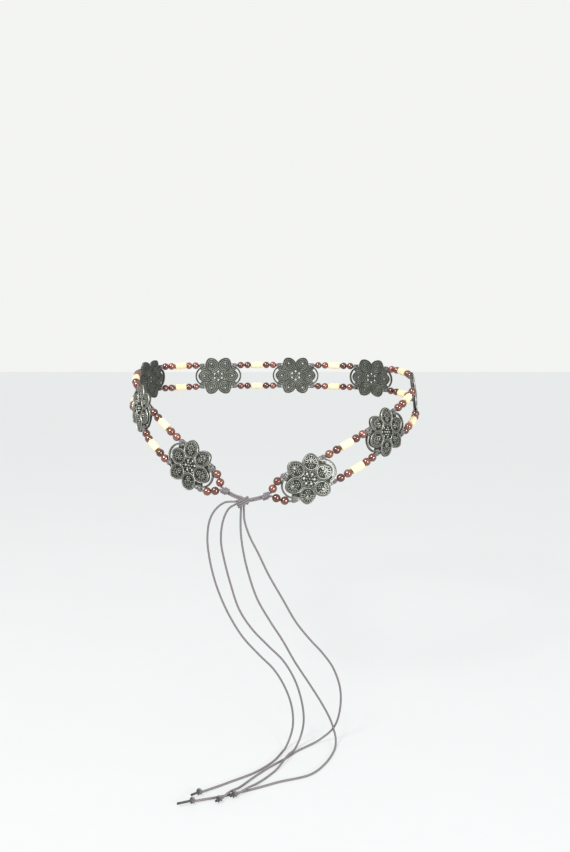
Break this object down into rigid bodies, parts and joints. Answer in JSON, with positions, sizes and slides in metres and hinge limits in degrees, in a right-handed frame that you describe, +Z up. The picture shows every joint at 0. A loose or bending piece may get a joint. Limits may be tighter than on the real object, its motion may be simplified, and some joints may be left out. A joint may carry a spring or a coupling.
{
  "type": "beaded belt",
  "caption": "Belt of cast filigree flowers joined by double strings of round and tube beads, tied in front with cord whose knotted ends hang down.",
  "frame": {"origin": "on the wearer's vertical axis, at the level between the low front and the high back of the loop", "axes": "+Z up, -Y to the front where the knot is, +X to the right as seen from the front; nodes named right lie on that side, which is the wearer's left"},
  "size_m": [0.3089, 0.3243, 0.3666],
  "materials": {
    "cast_metal": "antiqued cast alloy, dull grey, dark in the recesses and brighter on the raised rims",
    "beads": "glossy copper-brown round beads, with satin cream tube beads among them",
    "waxed_cord": "waxed mauve-grey cord, faintly shiny"
  },
  "bodies": {
    "root": {"medallion_right_1": "cast_metal", "medallion_right_2": "cast_metal", "medallion_right_3": "cast_metal", "medallion_right_4": "cast_metal", "medallion_left_1": "cast_metal", "medallion_left_2": "cast_metal", "medallion_left_3": "cast_metal", "medallion_left_4": "cast_metal", "medallion_back": "cast_metal", "strand_right_1_upper": "beads", "strand_right_1_lower": "beads", "strand_right_2_upper": "beads", "strand_right_2_lower": "beads", "strand_right_3_upper": "beads", "strand_right_3_lower": "beads", "strand_right_4_upper": "beads", "strand_right_4_lower": "beads", "strand_left_1_upper": "beads", "strand_left_1_lower": "beads", "strand_left_2_upper": "beads", "strand_left_2_lower": "beads", "strand_left_3_upper": "beads", "strand_left_3_lower": "beads", "strand_left_4_upper": "beads", "strand_left_4_lower": "beads", "end_string_right_upper": "beads", "end_string_right_lower": "beads", "end_string_left_upper": "beads", "end_string_left_lower": "beads", "end_knot_right": "waxed_cord", "end_knot_left": "waxed_cord", "tie_right": "waxed_cord", "tie_left": "waxed_cord", "tie_knot": "waxed_cord", "tail_outer_left": "waxed_cord", "tail_inner_left": "waxed_cord", "tail_inner_right": "waxed_cord", "tail_outer_right": "waxed_cord", "tail_knot_outer_left": "waxed_cord", "tail_knot_inner_left": "waxed_cord", "tail_knot_inner_right": "waxed_cord", "tail_knot_outer_right": "waxed_cord"}
  },
  "joints": []
}
